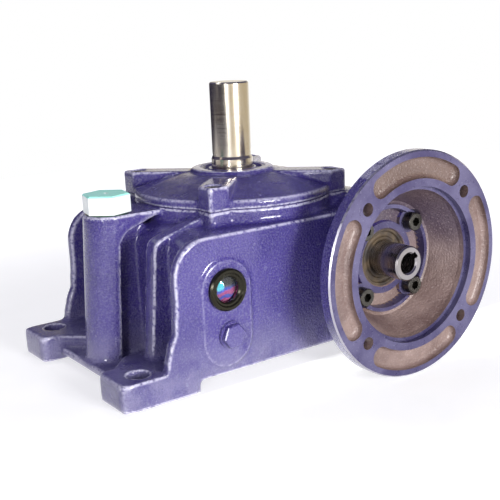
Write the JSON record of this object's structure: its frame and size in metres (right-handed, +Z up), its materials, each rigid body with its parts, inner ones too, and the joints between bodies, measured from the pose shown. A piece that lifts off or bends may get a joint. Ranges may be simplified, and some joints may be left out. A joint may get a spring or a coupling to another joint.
{
  "type": "worm gear reducer",
  "caption": "Right-angle worm gear reducer with vertical output shaft, motor flange with hollow input shaft, and footed cast housing.",
  "frame": {"origin": "on the output shaft's axis, in the plane the feet stand on, in the middle of the foot bolt pattern", "axes": "+Z up along the output shaft, +X towards the worm, -Y out of the motor flange"},
  "size_m": [0.2915, 0.213, 0.206],
  "materials": {
    "casting_paint": "thick glossy orange-peel enamel, indigo violet",
    "flange_paint": "thin satin violet-grey enamel over machined iron",
    "shaft_steel": "ground steel with a light oil film",
    "bearing_steel": "polished bearing steel",
    "cage_steel": "pressed steel",
    "screw_black": "black oxide",
    "seal_rubber": "brown nitrile rubber, semi-matt",
    "gasket_paper": "compressed fibre",
    "wheel_bronze": "machined tin bronze",
    "hub_iron": "turned grey iron",
    "breather_plastic": "white moulded nylon with a mint top",
    "glass_clear": "clear domed glass",
    "glass_frame": "black moulded body with an olive bevel",
    "reflector_foil": "bright reflector behind the glass",
    "copper": "soft copper"
  },
  "bodies": {
    "case": {"housing": "casting_paint", "top_cover": "casting_paint", "cover_gasket": "gasket_paper", "cover_screws": "screw_black", "output_seal": "seal_rubber", "motor_flange": "flange_paint", "flange_gasket": "gasket_paper", "flange_screws": "screw_black", "input_seal": "seal_rubber", "rear_cover": "casting_paint", "rear_cover_gasket": "gasket_paper", "rear_cover_screws": "screw_black", "bottom_cap": "seal_rubber", "vent_washer": "gasket_paper", "vent_plug": "breather_plastic", "sight_glass_body": "glass_frame", "sight_glass_lens": "glass_clear", "sight_glass_reflector": "reflector_foil", "drain_plug": "casting_paint", "drain_washer": "copper", "front_bearing_outer_race": "bearing_steel", "rear_bearing_outer_race": "bearing_steel", "lower_bearing_outer_race": "bearing_steel", "upper_bearing_outer_race": "bearing_steel"},
    "worm": {"worm_shaft": "shaft_steel", "front_bearing_inner_race": "bearing_steel", "rear_bearing_inner_race": "bearing_steel", "front_circlip": "screw_black", "rear_circlip": "screw_black"},
    "output": {"output_shaft": "shaft_steel", "wheel_hub": "hub_iron", "wheel_rim": "wheel_bronze", "rim_screws": "screw_black", "wheel_key": "shaft_steel", "wheel_spacer": "shaft_steel", "lower_bearing_inner_race": "bearing_steel", "upper_bearing_inner_race": "bearing_steel"},
    "front_cage_set": {"front_bearing_cage": "cage_steel", "front_bearing_balls": "bearing_steel"},
    "rear_cage_set": {"rear_bearing_cage": "cage_steel", "rear_bearing_balls": "bearing_steel"},
    "lower_cage_set": {"lower_bearing_cage": "cage_steel", "lower_bearing_balls": "bearing_steel"},
    "upper_cage_set": {"upper_bearing_cage": "cage_steel", "upper_bearing_balls": "bearing_steel"}
  },
  "joints": [
    {"name": "input_spin", "type": "hinge", "parent": "case", "child": "worm", "pos_m": [0.07, 0, 0.064], "axis": [0, 1, 0], "continuous": true},
    {"name": "output_spin", "type": "hinge", "parent": "case", "child": "output", "pos_m": [0, 0, 0], "axis": [0, 0, 1], "continuous": true},
    {"name": "front_cage_spin", "type": "hinge", "parent": "case", "child": "front_cage_set", "pos_m": [0.07, 0, 0.064], "axis": [0, 1, 0], "continuous": true},
    {"name": "rear_cage_spin", "type": "hinge", "parent": "case", "child": "rear_cage_set", "pos_m": [0.07, 0, 0.064], "axis": [0, 1, 0], "continuous": true},
    {"name": "lower_cage_spin", "type": "hinge", "parent": "case", "child": "lower_cage_set", "pos_m": [0, 0, 0], "axis": [0, 0, 1], "continuous": true},
    {"name": "upper_cage_spin", "type": "hinge", "parent": "case", "child": "upper_cage_set", "pos_m": [0, 0, 0], "axis": [0, 0, 1], "continuous": true}
  ],
  "couplings": [
    {"joint": "output_spin", "follows": "input_spin", "ratio": -0.033333},
    {"joint": "front_cage_spin", "follows": "input_spin", "ratio": 0.39688},
    {"joint": "rear_cage_spin", "follows": "input_spin", "ratio": 0.39688},
    {"joint": "lower_cage_spin", "follows": "input_spin", "ratio": -0.013217},
    {"joint": "upper_cage_spin", "follows": "input_spin", "ratio": -0.013217}
  ]
}
